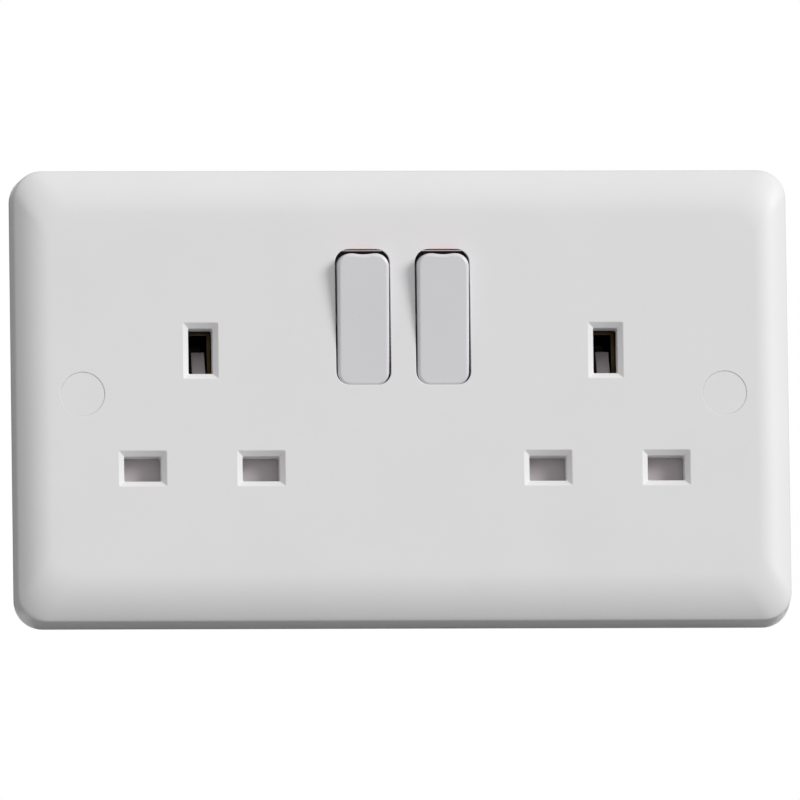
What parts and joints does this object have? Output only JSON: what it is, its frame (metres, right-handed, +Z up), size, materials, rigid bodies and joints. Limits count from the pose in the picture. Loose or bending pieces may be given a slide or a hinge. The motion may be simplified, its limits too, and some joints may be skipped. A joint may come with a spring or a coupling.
{
  "type": "uk twin socket",
  "caption": "White two-gang switched wall socket outlet: soft-edged plate, three-pin slots with sliding shutters, rocker switches, and a contact mechanism behind.",
  "frame": {"origin": "on the wall plane, midway between the two fixing screws", "axes": "+X to the right as seen from the front, +Y into the wall, +Z up"},
  "size_m": [0.146, 0.0326, 0.086],
  "materials": {
    "plate_plastic": "moulded urea, soft gloss",
    "rocker_plastic": "moulded, soft gloss",
    "shutter_plastic": "moulded, matt grey",
    "base_plastic": "moulded, matt",
    "nylon": "natural nylon",
    "spring_steel": "drawn wire",
    "contact_silver": "silver alloy rivet",
    "screw_steel": "zinc plated",
    "brass": "rolled strip"
  },
  "bodies": {
    "root": {"contact_cover": "base_plastic", "earth_strap": "brass", "earth_terminal_left": "brass", "earth_terminal_right": "brass", "fixed_tips": "contact_silver", "fixing_screws": "screw_steel", "front_plate": "plate_plastic", "housing_screws": "screw_steel", "live_bus": "brass", "live_contact_left": "brass", "live_contact_right": "brass", "live_terminal": "brass", "neutral_bar": "brass", "neutral_terminal": "brass", "rear_base": "base_plastic", "screw_cap_left": "plate_plastic", "screw_cap_right": "plate_plastic", "shutter_spring_left": "spring_steel", "shutter_spring_right": "spring_steel", "terminal_screws": "screw_steel"},
    "rocker_left": {"rocker_left": "rocker_plastic", "plunger_left": "nylon", "plunger_spring_left": "spring_steel"},
    "rocker_right": {"rocker_right": "rocker_plastic", "plunger_right": "nylon", "plunger_spring_right": "spring_steel"},
    "see_saw_left": {"moving_contact_left": "brass", "moving_tip_left": "contact_silver"},
    "see_saw_right": {"moving_contact_right": "brass", "moving_tip_right": "contact_silver"},
    "shutter_left": {"shutter_left": "shutter_plastic"},
    "shutter_right": {"shutter_right": "shutter_plastic"}
  },
  "joints": [
    {"name": "rocker_left_switch", "type": "hinge", "parent": "root", "child": "rocker_left", "pos_m": [-0.0075, -0.008, 0.0143], "axis": [-1, 0, 0], "range_deg": [0, 14]},
    {"name": "see_saw_left_throw", "type": "hinge", "parent": "root", "child": "see_saw_left", "pos_m": [-0.0075, 0.00381, 0.0143], "axis": [1, 0, 0], "range_deg": [0, 20]},
    {"name": "rocker_right_switch", "type": "hinge", "parent": "root", "child": "rocker_right", "pos_m": [0.0075, -0.008, 0.0143], "axis": [-1, 0, 0], "range_deg": [0, 14]},
    {"name": "see_saw_right_throw", "type": "hinge", "parent": "root", "child": "see_saw_right", "pos_m": [0.0075, 0.00381, 0.0143], "axis": [1, 0, 0], "range_deg": [0, 20]},
    {"name": "shutter_left_slide", "type": "slide", "parent": "root", "child": "shutter_left", "axis": [0, 0, -1], "range_m": [0, 0.0058], "stiffness_N_per_m": 120, "springref_m": -0.004, "deforming": ["shutter_spring_left"]},
    {"name": "shutter_right_slide", "type": "slide", "parent": "root", "child": "shutter_right", "axis": [0, 0, -1], "range_m": [0, 0.0058], "stiffness_N_per_m": 120, "springref_m": -0.004, "deforming": ["shutter_spring_right"]}
  ],
  "couplings": [
    {"joint": "see_saw_left_throw", "follows": "rocker_left_switch", "ratio": 1.4285},
    {"joint": "see_saw_right_throw", "follows": "rocker_right_switch", "ratio": 1.4285}
  ]
}
